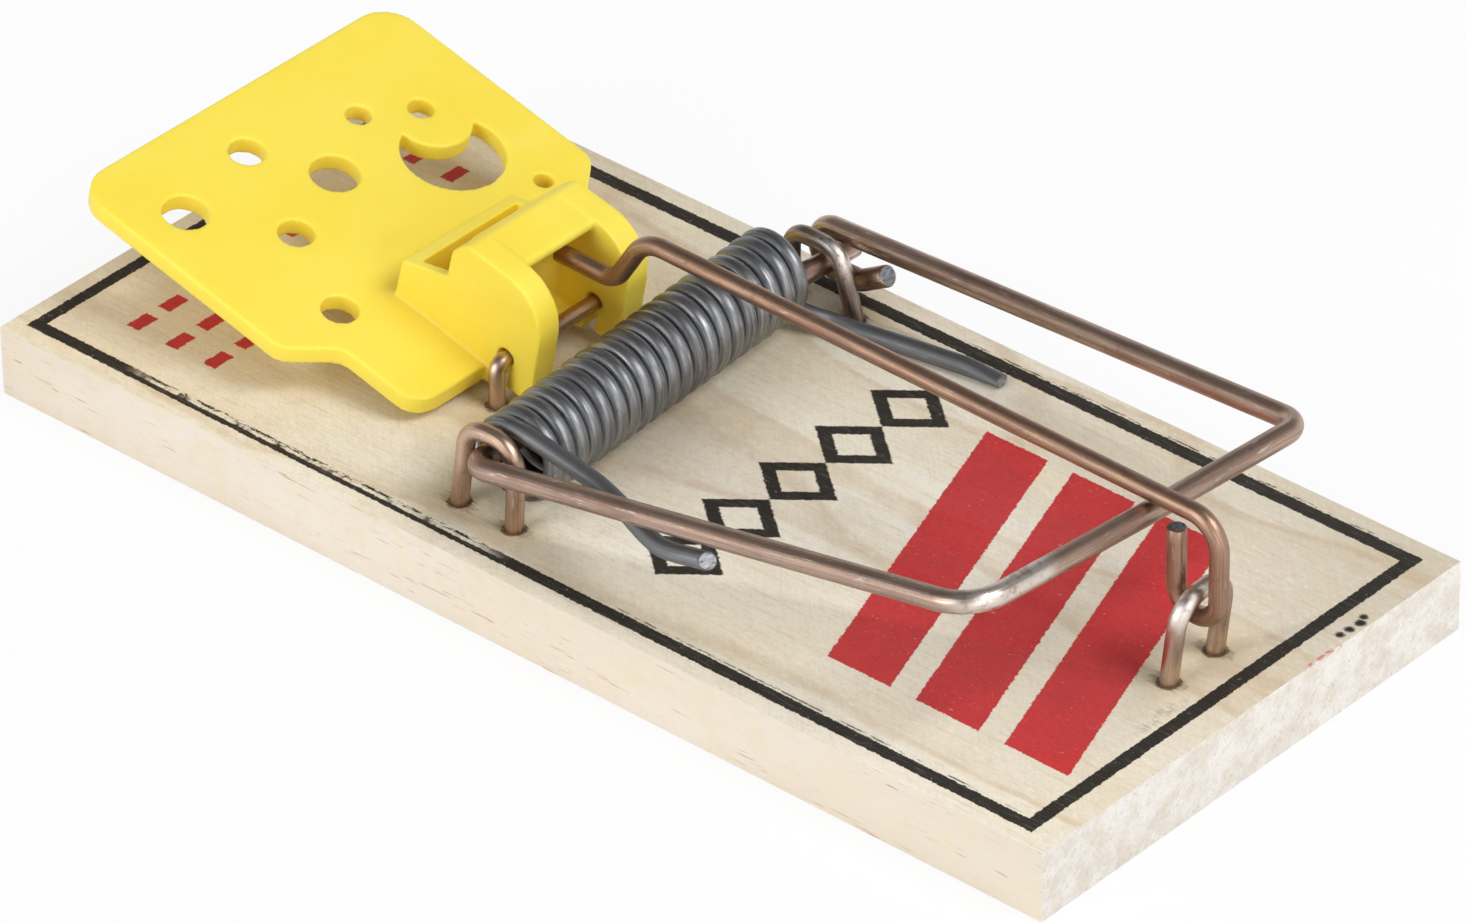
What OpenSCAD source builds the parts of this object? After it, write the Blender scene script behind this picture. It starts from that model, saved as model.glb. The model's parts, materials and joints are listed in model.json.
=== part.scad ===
// Snap mouse trap in its set state: board, hammer, hold-down bar, torsion
// spring, four staples and a pedal trigger.
// Units are millimetres. +Z is up, +X runs from the pedal end to the bar's
// staple, +Y from the near long edge to the far one. The origin is the middle
// of the board's underside.

/* [Board] */
// Length of the board, along X
board_length = 98.4; // [97:0.1:102]
// Width of the board, along Y
board_width = 45; // [44.6:0.1:48]
// Thickness of the board
board_thickness = 5.75; // [5.4:0.05:7]
// How deep the staple legs go into the board
leg_depth = 4; // [3.2:0.1:4.4]

/* [Wires] */
// Diameter of the hammer's wire, which is also the axle
hammer_wire = 1.7; // [1.5:0.05:1.75]
// Diameter of the hold-down bar's wire
bar_wire = 1.45; // [1.3:0.05:1.5]
// Diameter of the wire of the two axle staples and the bar's staple
staple_wire = 1.4; // [1.2:0.05:1.45]
// Diameter of the wire of the trigger's staple
trigger_wire = 1.25; // [1.1:0.05:1.3]
// Diameter of the spring's wire, held under the pitch so the turns stay open
spring_wire = 1; // [0.8:0.01:1.02]

/* [Axle and staples] */
// Position of the axle along X
axle_x = -6; // [-6.3:0.05:-5.7]
// Height of the axle's middle over the board at the near staple
axle_near_height = 5.2; // [5.1:0.05:5.4]
// Height of the axle's middle over the board at the far staple
axle_far_height = 3.45; // [3.35:0.05:3.6]
// Position of the near axle staple along Y
near_staple_y = -17.3; // [-17.35:0.05:-17.1]
// Position of the far axle staple along Y
far_staple_y = 18.2; // [18.1:0.05:18.3]
// Gap between the axle and the inside of a staple's crown
axle_gap = 0.25; // [0.2:0.01:0.3]
// Gap between a staple's leg and its hole in the board
socket_gap = 0.05; // [0.03:0.01:0.1]

/* [Hammer] */
// Position along Y where the near arm leaves the axle
near_arm_y = -19.2; // [-19.4:0.05:-19.15]
// Position along Y of the hook that closes round the axle
hook_y = 20.45; // [20.4:0.05:20.6]
// Position along Y of the axle's cut end
axle_end_y = 21.7; // [21.5:0.1:22]
// Position of the crossbar along X
crossbar_x = 39.7; // [39.2:0.1:40.2]
// Height over the board of the near corner of the crossbar
near_corner_height = 13.45; // [13.2:0.05:13.8]
// Height over the board of the far corner of the crossbar
far_corner_height = 10.55; // [10.3:0.05:10.8]
// Position along Y of the near corner of the crossbar
near_corner_y = -18.4; // [-18.6:0.1:-18.2]
// Position along Y of the far corner of the crossbar
far_corner_y = 16.4; // [16.2:0.1:16.8]

/* [Hold-down bar] */
// Height over the board of the bar's straight run
bar_height = 13.42; // [13.3:0.02:13.6]
// Position along X of the bar's own pivot on its staple
bar_pivot_x = 43.95; // [43.6:0.05:44.3]
// Height over the board of the bar's own pivot
bar_pivot_height = 7; // [6.9:0.05:7.2]
// Bend radius of the bar's U hook
bar_hook_radius = 1.9; // [1.85:0.01:2]
// Height over the board of the cut end of the U hook's short leg
short_leg_height = 11.55; // [10.5:0.1:11.8]
// Turn of the bar about Z, so its tip meets the middle of the pedal's lip
bar_yaw = 1; // [0.7:0.1:1.2]
// Position along X of the bar's tip
bar_tip_x = -15.95; // [-16.1:0.05:-15.8]
// Gap between the bar and the hammer's crossbar
crossbar_gap = 0.12; // [0.1:0.01:0.2]
// Gap between the bar's tip and the underside of the lip
lip_gap = 0.16; // [0.15:0.01:0.2]

/* [Torsion spring] */
// Distance between two turns along the axle
coil_pitch = 1.455; // [1.45:0.001:1.46]
// Number of whole turns, before the last half turn
coil_turns = 20; // [18:1:20]
// Radius of the coil to the middle of its wire, at the corners of a turn
coil_radius = 2.98; // [2.96:0.01:3.02]
// Position along Y where the near leg leaves the coil
coil_start_y = -15.6; // [-15.65:0.05:-15.5]

/* [Pedal] */
// Position along X of the pivot of the pedal
pivot_x = -15; // [-15.1:0.05:-14.9]
// Height over the board of the pivot of the pedal
pivot_height = 3.55; // [3.5:0.01:3.7]
// Tilt of the set pedal, bait end up
pedal_tilt = 14.7; // [14.5:0.1:15]
// Length of the pedal from the pivot to its far edge
pedal_length = 32.6; // [31:0.1:33]
// Width of the pedal's wide part
pedal_width = 33; // [32:0.1:34]
// Width of the pedal's narrow part
pedal_neck = 25.7; // [25:0.1:26.5]
// Thickness of the pedal's plate
plate_thickness = 1.5; // [1.2:0.05:1.5]
// Width over both cheeks
cheek_span = 11.5; // [11:0.1:11.6]
// Thickness of one cheek
cheek_thickness = 2.15; // [1.8:0.05:2.2]
// Gap between the pivot wire and its bore, on the radius
pivot_gap = 0.15; // [0.12:0.01:0.2]
// Height of the underside of the lip over the pivot
lip_under = 5.9; // [5.85:0.01:5.95]
// Thickness of the lip
lip_thickness = 1; // [0.8:0.05:1.1]
// Diameter of the large round hole in the plate
large_hole = 7.9; // [7.5:0.1:8.2]

/* [Hidden] */
// sides of a wire and of a bend
wire_sides = 32;
// sides of a full turn of a bend
bend_sides = 64;
// a bend is this much thicker than the straight wire that runs into it
bend_ease = 0.02;
// how far a straight run reaches into a bend
bend_lap = 0.1;
// height of the wood's top face
top = board_thickness;
// slope of the axle along Y
axle_slope = (axle_far_height - axle_near_height) / (far_staple_y - near_staple_y);
// bend radius of the hammer at the axle, at the two corners and in the hook
arm_bend = 1.8;
near_corner_bend = 3;
far_corner_bend = 2;
hook_bend = 1.85;
// how far the hook's middle stands behind the axle, and the rise over it
hook_back = 0.4;
hook_rise = 1.7;
// the hook's tail: the bend radius, where it starts to rise, its end and its rise
tail_bend = 1.5;
tail_knee = 1.7;
tail_end = 4.3;
tail_drop = 1.75;
tail_rise = 1.5;
// bend radius of the crossbar's slight dip under the bar
dip_bend = 60;
// the bar's yaw turns about this point
bar_yaw_x = 40;
bar_yaw_y = 0.15;
// bend radii of the bar's front corner, and of the top and the foot of its jog
bar_corner_bend = 2.4;
jog_top_bend = 3.2;
jog_foot_bend = 2.2;
// where the jog starts, and its slant
jog_x = -7.4;
jog_angle = 57;
// feet of the near axle staple along X, its shoulders and bends
near_feet = [-9.45, -3.9];
near_shoulders = [-7.75, -3.1];
near_bends = [2, 2.1];
// feet of the far axle staple along X, its shoulders and bends
far_feet = [-9.1, -1.8];
far_shoulders = [-8.95, -4.5];
far_bends = [1.5, 1.9];
// how far the feet of the bar's staple stand behind its crown
bar_staple_lean = 1.45;
// middle, half spread and bend of the bar's staple
bar_staple_y = 0.7;
bar_staple_half = 2.5;
bar_staple_bend = 2.2;
// half spread and bend of the trigger's staple
trigger_half = 6.7;
trigger_bend = 0.95;
// middle of the coil against the axle, at its near and far ends
coil_near_shift = [0.9, -0.9];
coil_far_shift = [-0.75, 1];
// rings in one turn and sides of a ring
turn_rings = 8;
ring_sides = 6;
// gap between the near leg of the spring and the arm over it
leg_gap = 0.35;
// height over the wood of the middle of the far leg
far_leg_height = spring_wire / 2 + 0.15;
// the plate's top, below the pivot
plate_top = -1.8;
plate_bottom = plate_top - plate_thickness;
// front edge of the plate and of the lip
plate_front = -1.5;
// width of the snap-in slot under each pivot bore
entry_slot = 1.1;

// vectors and bent wires

function unit(v) = v / norm(v);

// a point on the middle of the axle
function axle_at(y) = [axle_x, y, top + axle_near_height + axle_slope * (y - near_staple_y)];

// children set on the origin o with the axes x, y and z
module axes_at(o, x, y, z) {
    multmatrix([[x[0], y[0], z[0], o[0]],
                [x[1], y[1], z[1], o[1]],
                [x[2], y[2], z[2], o[2]],
                [0, 0, 0, 1]]) children();
}

// a straight run of wire from a to b
module run(a, b, d) {
    z = unit(b - a);
    side = abs(z[2]) < 0.9 ? [0, 0, 1] : [1, 0, 0];
    x = unit(cross(side, z));
    axes_at(a, x, cross(z, x), z) cylinder(h = norm(b - a), d = d, $fn = wire_sides);
}

// the bend of radius r where the runs a-p and p-b meet
module bend(a, p, b, r, d) {
    u = unit(a - p);
    w = unit(b - p);
    half = acos(u * w) / 2;
    m = -unit(cross(u, w));
    c = p + unit(u + w) * r / sin(half);
    x = unit(p + u * r / tan(half) - c);
    axes_at(c, x, cross(m, x), m)
        rotate_extrude(angle = 180 - 2 * half, $fn = bend_sides)
            translate([r, 0]) circle(d = d + bend_ease, $fn = wire_sides);
}

// a wire through the points p, with a bend radius for each inner point
module wire(p, r, d) {
    last = len(p) - 1;
    function cut(i) = (i <= 0 || i >= last) ? 0
        : r[i - 1] / tan(acos(unit(p[i - 1] - p[i]) * unit(p[i + 1] - p[i])) / 2) - bend_lap;
    for (i = [0 : last - 1])
        run(p[i] + unit(p[i + 1] - p[i]) * cut(i), p[i + 1] - unit(p[i + 1] - p[i]) * cut(i + 1), d);
    for (i = [1 : last - 1])
        bend(p[i - 1], p[i], p[i + 1], r[i - 1], d);
}

// the corners of an outline, each rounded to its own radius in a few steps, or more where it is wide
function corner(a, p, b, r) =
    let (corner_steps = r > 2.5 ? 14 : 6, u = unit(a - p), w = unit(b - p),
         half = acos(u * w) / 2, turn = 180 - 2 * half,
         c = p + unit(u + w) * r / sin(half), s = p + u * r / tan(half) - c, e = p + w * r / tan(half) - c)
    [for (k = [0 : corner_steps])
        c + (s * sin(turn * (1 - k / corner_steps)) + e * sin(turn * k / corner_steps)) / sin(turn)];
function rounded(p, r) =
    let (n = len(p))
    [for (i = [0 : n - 1])
        each (r[i] == 0 ? [p[i]] : corner(p[(i + n - 1) % n], p[i], p[(i + 1) % n], r[i]))];

// staples

function foot(x, y) = [x, y, top - leg_depth];
near_crown = top + axle_near_height + hammer_wire / 2 + axle_gap + staple_wire / 2;
far_crown = top + axle_far_height + hammer_wire / 2 + axle_gap + staple_wire / 2;
near_path = [foot(near_feet[0], near_staple_y), [near_shoulders[0], near_staple_y, near_crown],
             [near_shoulders[1], near_staple_y, near_crown], foot(near_feet[1], near_staple_y)];
far_path = [foot(far_feet[0], far_staple_y), [far_shoulders[0], far_staple_y, far_crown],
            [far_shoulders[1], far_staple_y, far_crown], foot(far_feet[1], far_staple_y)];
bar_crown = top + bar_pivot_height - 0.05;
bar_staple_path = [foot(bar_pivot_x - bar_staple_lean, bar_staple_y - bar_staple_half),
                   [bar_pivot_x, bar_staple_y - bar_staple_half, bar_crown],
                   [bar_pivot_x, bar_staple_y + bar_staple_half, bar_crown],
                   foot(bar_pivot_x - bar_staple_lean, bar_staple_y + bar_staple_half)];
trigger_path = [foot(pivot_x, -trigger_half), [pivot_x, -trigger_half, top + pivot_height],
                [pivot_x, trigger_half, top + pivot_height], foot(pivot_x, trigger_half)];

module near_axle_staple() {
    color("silver") wire(near_path, near_bends, staple_wire);
}

module far_axle_staple() {
    color("silver") wire(far_path, far_bends, staple_wire);
}

module bar_staple() {
    color("silver") wire(bar_staple_path, [bar_staple_bend, bar_staple_bend], staple_wire);
}

module trigger_staple() {
    color("silver") wire(trigger_path, [trigger_bend, trigger_bend], trigger_wire);
}

// board

// the two leg holes of a staple, a little deeper and wider than its legs
module sockets(p, d) {
    last = len(p) - 1;
    run(p[0] - unit(p[1] - p[0]) * 2 * socket_gap, p[1], d + 2 * socket_gap);
    run(p[last] - unit(p[last - 1] - p[last]) * 2 * socket_gap, p[last - 1], d + 2 * socket_gap);
}

module base_board() {
    color("burlywood") difference() {
        translate([-board_length / 2, -board_width / 2, 0]) cube([board_length, board_width, board_thickness]);
        sockets(near_path, staple_wire);
        sockets(far_path, staple_wire);
        sockets(bar_staple_path, staple_wire);
        sockets(trigger_path, trigger_wire);
    }
}

// hold-down bar

// a point of the bar's own upright plane
function bar_at(x, z) =
    [bar_yaw_x + (x - bar_yaw_x) * cos(bar_yaw), bar_yaw_y - (x - bar_yaw_x) * sin(bar_yaw), z];
// height of the lip's lower front edge, which the tip stays under
lip_edge = top + pivot_height - plate_front * sin(pedal_tilt) + lip_under * cos(pedal_tilt);
tip_z = lip_edge - lip_gap - bar_wire / 2;
bar_z = top + bar_height;
hook_z = top + bar_pivot_height - bar_hook_radius;
bar_path = [bar_at(bar_pivot_x - bar_hook_radius, top + short_leg_height),
            bar_at(bar_pivot_x - bar_hook_radius, hook_z),
            bar_at(bar_pivot_x + bar_hook_radius, hook_z),
            bar_at(bar_pivot_x + bar_hook_radius, bar_z),
            bar_at(jog_x, bar_z),
            bar_at(jog_x - (bar_z - tip_z) / tan(jog_angle), tip_z),
            bar_at(bar_tip_x, tip_z)];

module hold_down_bar() {
    color("darkgray") wire(bar_path, [bar_hook_radius, bar_hook_radius, bar_corner_bend, jog_top_bend, jog_foot_bend],
                           bar_wire);
}

// hammer

near_corner = [crossbar_x - 0.1, near_corner_y, top + near_corner_height];
far_corner = [crossbar_x + 0.1, far_corner_y, top + far_corner_height];
crossbar_mid = [crossbar_x, bar_yaw_y, bar_z - bar_wire / 2 - crossbar_gap - hammer_wire / 2];
hook_axle = axle_at(hook_y);
hook_x = axle_x - hook_back - hook_bend;
hammer_path = [axle_at(axle_end_y),
               axle_at(near_arm_y),
               near_corner,
               crossbar_mid,
               far_corner,
               [hook_x, hook_y, hook_axle[2] + hook_rise],
               [hook_x, hook_y, hook_axle[2] - hook_bend],
               [axle_x + tail_knee, hook_y, hook_axle[2] - tail_drop],
               [axle_x + tail_end, hook_y, hook_axle[2] - tail_drop + tail_rise]];

module hammer() {
    color("peru") wire(hammer_path, [arm_bend, near_corner_bend, dip_bend, far_corner_bend,
                                     hook_bend, hook_bend, tail_bend], hammer_wire);
}

// torsion spring

// height of the near arm's middle at a place along X
function arm_z(x) =
    let (a = axle_at(near_arm_y)) a[2] + (near_corner[2] - a[2]) * (x - a[0]) / (near_corner[0] - a[0]);
under_arm = arm_z(9) - hammer_wire / 2 - spring_wire / 2 - leg_gap;
coil_length = (coil_turns + 0.5) * coil_pitch;
// middle of the coil at the share t of its length
function coil_middle(t) =
    let (y = coil_start_y + t * coil_length, a = axle_at(y),
         s = coil_near_shift + (coil_far_shift - coil_near_shift) * t)
    [a[0] + s[0], y, a[2] + s[1]];
function coil_at(k) =
    let (n = (coil_turns + 0.5) * turn_rings, c = coil_middle(k / n), a = 90 + 360 * k / turn_rings)
    [c[0] + coil_radius * cos(a), c[1], c[2] + coil_radius * sin(a)];
coil_start = coil_at(0);
coil_end = coil_at((coil_turns + 0.5) * turn_rings);
// near leg, from its tip under the arm back to the coil
near_leg = [[15.9, -18.65, under_arm + 0.5],
            [14.6, -18.75, under_arm + 0.5],
            [13.2, -18.8, under_arm + 0.4],
            [11.6, -18.7, under_arm + 0.15],
            [10.2, -18.4, under_arm],
            [8.8, -17.95, under_arm],
            [7.4, -17.45, under_arm + 0.05],
            [5.6, -16.85, under_arm + 0.15],
            [3.6, -16.3, under_arm + 0.2],
            [0.9, -15.9, under_arm + 0.3],
            [-1.8, coil_start_y - 0.05, under_arm + 0.5],
            [-3.8, coil_start_y, (coil_start[2] + under_arm + 0.6) / 2 + 0.05]];
// far leg, from the coil down to the wood
far_z = top + far_leg_height;
far_leg = [coil_end + [1.2, 0.2, -0.05],
           coil_end + [2.6, 0.6, -0.3],
           [-2.8, 15.6, far_z + 0.4],
           [-1.4, 16.1, far_z + 0.1],
           [0.2, 16.55, far_z],
           [3, 17.1, far_z],
           [6, 17.6, far_z],
           [8.6, 18.05, far_z],
           [10.9, 18.4, far_z]];
spring_path = [each near_leg,
               for (k = [0 : (coil_turns + 0.5) * turn_rings]) coil_at(k),
               each far_leg];
path_last = len(spring_path) - 1;
// the least room between two turns, from the points of the wire's middle
turn_gap = min([for (i = [0 : path_last - turn_rings]) for (j = [i + turn_rings - 2 : path_last])
               norm(spring_path[i] - spring_path[j])]) - spring_wire;
echo(least_gap_between_turns = turn_gap);

// one ring of the wire's skin; the board's width direction starts the ring
function ring(i) =
    let (c = spring_path[i], t = unit(spring_path[min(i + 1, path_last)] - spring_path[max(i - 1, 0)]),
         s = [0, 1, 0], n = unit(s - t * (s * t)), m = cross(t, n))
    [for (k = [0 : ring_sides - 1])
        c + (n * cos(360 * k / ring_sides) + m * sin(360 * k / ring_sides)) * spring_wire / 2];

module torsion_spring() {
    skin = [for (i = [0 : path_last]) each ring(i)];
    walls = [for (i = [0 : path_last - 1]) for (k = [0 : ring_sides - 1])
                let (a = i * ring_sides + k, b = i * ring_sides + (k + 1) % ring_sides)
                each [[a, a + ring_sides, b], [b, a + ring_sides, b + ring_sides]]];
    first_cap = [for (k = [1 : ring_sides - 2]) [0, k, k + 1]];
    last_cap = [for (k = [1 : ring_sides - 2])
                   [path_last * ring_sides, path_last * ring_sides + k + 1, path_last * ring_sides + k]];
    color("slategray") polyhedron(points = skin, faces = concat(walls, first_cap, last_cap), convexity = 10);
}

// pedal, drawn about its pivot: X along the plate, Z square to it

cheek_out = cheek_span / 2;
cheek_in = cheek_out - cheek_thickness;
// a shape drawn in X and Z, from y0 to y1
module across(y0, y1) {
    translate([0, y1, 0]) rotate([90, 0, 0]) linear_extrude(height = y1 - y0) children();
}

// half width and corner places of the plate's outline
plate_outline = rounded([[-pedal_length, -pedal_width / 2], [-11.7, -pedal_width / 2], [-8.9, -pedal_neck / 2],
                         [plate_front, -pedal_neck / 2], [plate_front, pedal_neck / 2], [-8.9, pedal_neck / 2],
                         [-11.7, pedal_width / 2], [-pedal_length, pedal_width / 2]],
                        [3, 2, 1.8, 2, 2, 1.8, 2, 3]);
// side view of a cheek
cheek_outline = rounded([[-6.5, plate_bottom], [-6.5, 5.6], [-5.3, 6.95], [2.4, 7.15],
                         [2.85, -1.3], [2, -2.35], [0.4, -2.45], [-1.2, plate_bottom]],
                        [0, 0.8, 1, 4, 1, 0.5, 0.5, 0]);
// side view of the block's back wall and of the lip
wall_outline = rounded([[-6.5, plate_bottom], [-6.5, 5.75], [-5.3, 6.9], [-3.6, 6.9], [-3.6, plate_bottom]],
                       [0, 0.5, 0.8, 0, 0]);
lip_top = lip_under + lip_thickness;
lip_outline = rounded([[-4.4, lip_under], [-4.4, lip_top], [plate_front, lip_top], [plate_front, lip_under]],
                      [0, 0, 0.45, 0.45]);
// small round holes of the plate: place along X, place along Y, diameter
plate_holes = [[-25.7, -11.9, 3.5], [-27.5, -3.7, 2.8], [-22, -0.15, 3.8], [-25.3, 5.75, 2], [-23, 10, 2],
               [-19.35, -6.95, 2.75], [-11.9, -10.1, 2.8], [-12.2, 11.75, 1.5]];
large_hole_at = [-18.3, 8.5];
// the disc that closes the far back part of the large hole
disc_at = [-21.6, 9.9];
disc_radius = 2.9;
// bait trough: back of its ridge, ridge thickness, end wall thickness, heights
trough_back = -10.6;
ridge_thickness = 1.2;
trough_wall = 0.8;
trough_low = 1.45;
trough_high = 3.1;
trough_slope = (trough_high - trough_low) / (-6.6 - trough_back);

module pedal_holes() {
    for (h = plate_holes)
        translate([h[0], h[1], plate_bottom - 1]) cylinder(h = plate_thickness + 2, d = h[2], $fn = 32);
    difference() {
        translate([large_hole_at[0], large_hole_at[1], plate_bottom - 1])
            cylinder(h = plate_thickness + 2, d = large_hole, $fn = 48);
        translate([disc_at[0], disc_at[1], plate_bottom - 2])
            cylinder(h = plate_thickness + 4, r = disc_radius, $fn = 32);
    }
}

module pedal_solid() {
    difference() {
        translate([0, 0, plate_bottom]) linear_extrude(height = plate_thickness) polygon(plate_outline);
        pedal_holes();
    }
    across(-cheek_out, -cheek_in) polygon(cheek_outline);
    across(cheek_in, cheek_out) polygon(cheek_outline);
    across(-cheek_in - 0.1, cheek_in + 0.1) polygon(wall_outline);
    across(-cheek_in - 0.1, cheek_in + 0.1) polygon(lip_outline);
    across(-cheek_out, cheek_out)
        polygon([[trough_back, plate_top - 0.5], [trough_back, trough_low],
                 [trough_back + ridge_thickness, trough_low + ridge_thickness * trough_slope],
                 [trough_back + ridge_thickness, plate_top - 0.5]]);
    for (y = [-cheek_out, cheek_out - trough_wall])
        across(y, y + trough_wall)
            polygon([[trough_back + 0.3, plate_top - 0.5], [trough_back + 0.3, trough_low + 0.3 * trough_slope],
                     [-6.3, trough_low + (-6.3 - trough_back) * trough_slope], [-6.3, plate_top - 0.5]]);
}

module trigger_pedal() {
    color("gold") translate([pivot_x, 0, top + pivot_height]) rotate([0, pedal_tilt, 0]) difference() {
        pedal_solid();
        across(-cheek_out - 1, cheek_out + 1) circle(d = trigger_wire + 2 * pivot_gap, $fn = 32);
        for (y = [-cheek_out - 1, cheek_in - 0.2])
            translate([-entry_slot / 2, y, -4]) cube([entry_slot, cheek_thickness + 1.2, 4]);
    }
}

base_board();
hammer();
hold_down_bar();
torsion_spring();
near_axle_staple();
far_axle_staple();
bar_staple();
trigger_staple();
trigger_pedal();
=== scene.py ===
"""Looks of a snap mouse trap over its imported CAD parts.

Lengths are metres in the row frame: +X from the pedal end to the bar's staple, +Y from the near
long edge to the far one, +Z up. Places written in millimetres go through mm(); the constants that
carry a comment on millimetres, and the shaders' own coordinates, are in millimetres too.
"""
import json
import math

import bmesh
import bpy
from mathutils import Matrix, Vector, noise


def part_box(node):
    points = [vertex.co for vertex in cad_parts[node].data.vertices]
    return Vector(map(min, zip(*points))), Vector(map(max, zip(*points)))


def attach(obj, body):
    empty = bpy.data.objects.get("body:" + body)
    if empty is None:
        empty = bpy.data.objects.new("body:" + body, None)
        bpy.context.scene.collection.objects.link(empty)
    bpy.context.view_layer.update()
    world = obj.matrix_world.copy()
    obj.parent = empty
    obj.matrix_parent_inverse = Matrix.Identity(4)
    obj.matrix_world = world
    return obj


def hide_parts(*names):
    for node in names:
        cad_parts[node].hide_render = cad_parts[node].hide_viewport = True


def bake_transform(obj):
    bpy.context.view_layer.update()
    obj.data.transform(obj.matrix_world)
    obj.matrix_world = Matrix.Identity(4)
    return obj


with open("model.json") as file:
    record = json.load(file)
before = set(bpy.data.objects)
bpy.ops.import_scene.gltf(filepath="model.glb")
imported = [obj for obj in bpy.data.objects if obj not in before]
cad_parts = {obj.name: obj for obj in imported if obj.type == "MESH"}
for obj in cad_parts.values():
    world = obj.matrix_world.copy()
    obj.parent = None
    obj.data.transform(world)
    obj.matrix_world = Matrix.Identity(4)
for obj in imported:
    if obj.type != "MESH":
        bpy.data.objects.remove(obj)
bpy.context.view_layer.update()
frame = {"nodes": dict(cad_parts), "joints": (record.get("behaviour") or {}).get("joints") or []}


def mm(x, y, z):
    """A point given in millimetres."""
    return Vector((x, y, z)) * 0.001


joints = {j["name"]: j for j in frame["joints"]}
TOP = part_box("base_board")[1].z * 1000  # the wood's top face, in mm
WHITE = (1, 1, 1, 1)


# ---------------------------------------------------------------- camera and light

# the photographed view: where the lens stands, which way its axes point, its focal length and sensor
EYE = mm(424.409, -465.825, 434.246)
RIGHT = Vector((0.74703, 0.66463, -0.01477))
UP = Vector((-0.36570, 0.42939, 0.82576))
BACK = Vector((0.55517, -0.61147, 0.56382))
FOCAL_MM, SENSOR_MM = 264.33, 36
AIM = Vector((0, 0, 0.01))  # where the lamps look
FLOOR_Z = -0.00003  # a hair under the board, so that the two faces don't flicker
GLOW_SHARE = 0.88  # how much of the table that is seen is plain white; the rest takes the shadows


def make_camera():
    data = bpy.data.cameras.new("camera")
    data.sensor_fit, data.sensor_width, data.lens = "HORIZONTAL", SENSOR_MM, FOCAL_MM
    data.clip_start, data.clip_end = 0.05, 10
    camera = bpy.data.objects.new("camera", data)
    bpy.context.scene.collection.objects.link(camera)
    camera.matrix_world = Matrix.Translation(EYE) @ Matrix((RIGHT, UP, BACK)).transposed().to_4x4()
    bpy.context.scene.camera = camera


def softbox(name, place, size, watts):
    """A square white area light at place that looks at the middle of the board."""
    data = bpy.data.lights.new(name, "AREA")
    data.shape, data.size, data.energy = "SQUARE", size, watts
    lamp = bpy.data.objects.new(name, data)
    lamp.location = place
    lamp.rotation_euler = (AIM - Vector(place)).to_track_quat("-Z", "Y").to_euler()
    bpy.context.scene.collection.objects.link(lamp)


def make_studio():
    """A white backdrop under a dimmer ceiling, three softboxes, and a white table with the shadow."""
    world = bpy.data.worlds.new("studio")
    bpy.context.scene.world = world
    world.use_nodes = True
    sky = Shader("studio", world.node_tree)
    ray = sky.tree.nodes.new("ShaderNodeLightPath").outputs
    height = sky.split(sky.node("TexCoord", out="Generated"))[2]
    mirrored = sky.ease(height, 0.12, 0.62, 1.0, 0.16)
    lit = sky.node("Background", {"Color": (0.97, 0.98, 1, 1), "Strength": 0.4})
    backdrop = sky.most(ray["Is Camera Ray"], mirrored)
    seen = sky.node("Background", {"Color": WHITE, "Strength": backdrop})
    shown = sky.most(ray["Is Camera Ray"], ray["Is Glossy Ray"], ray["Is Transmission Ray"])
    out = sky.tree.nodes.new("ShaderNodeOutputWorld")
    sky.tree.links.new(sky.node("MixShader", (shown, lit, seen)), out.inputs["Surface"])
    softbox("key", (0.5, 0.12, 0.62), 0.34, 3.4)
    softbox("fill", (-0.15, -0.75, 0.35), 0.5, 3.3)
    softbox("side", (0.75, -0.25, 0.25), 0.4, 1.4)

    mesh = bpy.data.meshes.new("floor")
    mesh.from_pydata([(-3, -3, 0), (3, -3, 0), (3, 3, 0), (-3, 3, 0)], [], [(0, 1, 2, 3)])
    floor = bpy.data.objects.new("floor", mesh)
    floor.location.z = FLOOR_Z
    bpy.context.scene.collection.objects.link(floor)
    m = Shader("floor_paper")
    ray = m.tree.nodes.new("ShaderNodeLightPath").outputs
    shown = m.most(ray["Is Camera Ray"], ray["Is Glossy Ray"], ray["Is Transmission Ray"])
    grain = m.noise(m.place(), 1.5, 3.0)
    paper = m.node("BsdfDiffuse", {"Color": m.mix(grain, rgb(243, 243, 243), rgb(239, 239, 239))})
    glow = m.node("Emission", {"Color": WHITE, "Strength": 1.0})
    mesh.materials.append(m.surface(m.node("MixShader", (m.mul(shown, GLOW_SHARE), paper, glow))))


# ---------------------------------------------------------------- materials

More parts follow.
